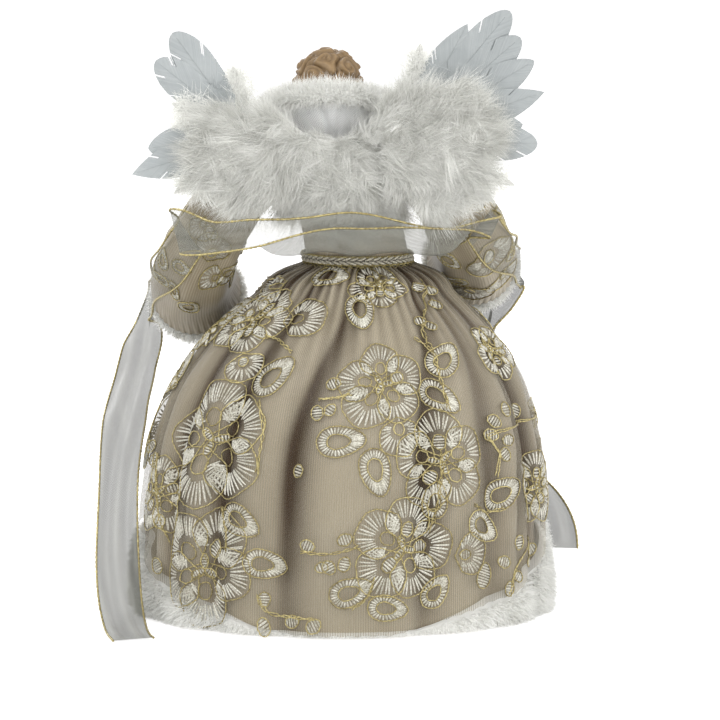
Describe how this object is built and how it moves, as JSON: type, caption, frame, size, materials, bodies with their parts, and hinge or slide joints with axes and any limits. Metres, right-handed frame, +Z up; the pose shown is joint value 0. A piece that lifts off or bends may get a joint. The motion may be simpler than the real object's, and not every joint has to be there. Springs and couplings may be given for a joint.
{
  "type": "decorative angel",
  "caption": "Standing angel figure with a gathered dome skirt, plush trim, layered feather wings, a ribbon over its elbows and arms that swing up, open below for a treetop.",
  "frame": {"origin": "centre of the footprint on the surface that the figure stands on", "axes": "+Z up, -Y is the way the figure faces, +X is the figure's left"},
  "size_m": [0.2631, 0.2022, 0.3298],
  "materials": {
    "hoop": "smooth ivory plastic ring",
    "card": "white card, matte",
    "satin": "champagne satin, soft sheen",
    "tulle": "sheer tulle with gold and ivory embroidery",
    "plush": "white faux fur, matte",
    "foam": "moulded foam",
    "braid": "cream and gold gimp braid",
    "woven": "white ribbed satin",
    "peg": "plain dowel",
    "skin": "painted resin, satin",
    "hair": "moulded resin, tan, antiqued grooves",
    "wire": "plain steel wire",
    "wadding": "soft wadding",
    "organza": "sheer white organza with gold cord edges",
    "feather": "white feather",
    "down": "white marabou down"
  },
  "bodies": {
    "root": {"hem_hoop": "hoop", "former_panel_1": "card", "former_panel_2": "card", "former_panel_3": "card", "former_panel_4": "card", "former_panel_5": "card", "former_panel_6": "card", "skirt_lining": "satin", "skirt_overlay": "tulle", "hem_fur": "plush", "torso_form": "foam", "bodice": "satin", "waist_braid": "braid", "yoke": "woven", "fur_collar": "plush", "neck_peg": "peg", "head": "skin", "hair": "hair", "shoulder_wire": "wire", "wing_tab": "card", "left_wing_card": "card", "left_feather_1": "feather", "left_feather_2": "feather", "left_feather_3": "feather", "left_feather_4": "feather", "left_feather_5": "feather", "left_feather_6": "feather", "left_feather_7": "feather", "left_feather_8": "feather", "left_down": "down", "right_wing_card": "card", "right_feather_1": "feather", "right_feather_2": "feather", "right_feather_3": "feather", "right_feather_4": "feather", "right_feather_5": "feather", "right_feather_6": "feather", "right_feather_7": "feather", "right_feather_8": "feather", "right_feather_9": "feather", "right_feather_10": "feather", "right_down": "down", "centre_down": "down", "ribbon_back": "organza", "ribbon_left_tail": "organza", "ribbon_right_tail": "organza"},
    "left_arm": {"left_sleeve": "tulle", "left_cuff_fur": "plush", "left_arm_wire": "wire", "left_arm_padding": "wadding", "left_hand": "skin", "left_ribbon_loop": "organza"},
    "right_arm": {"right_sleeve": "tulle", "right_cuff_fur": "plush", "right_arm_wire": "wire", "right_arm_padding": "wadding", "right_hand": "skin", "right_ribbon_loop": "organza"}
  },
  "joints": [
    {"name": "left_shoulder", "type": "hinge", "parent": "root", "child": "left_arm", "pos_m": [0.0369, 0, 0.24], "axis": [-1, 0, 0], "range_deg": [0, 35], "deforming": ["ribbon_back", "ribbon_left_tail"]},
    {"name": "right_shoulder", "type": "hinge", "parent": "root", "child": "right_arm", "pos_m": [-0.0369, 0, 0.24], "axis": [-1, 0, 0], "range_deg": [0, 35], "deforming": ["ribbon_back", "ribbon_right_tail"]}
  ]
}
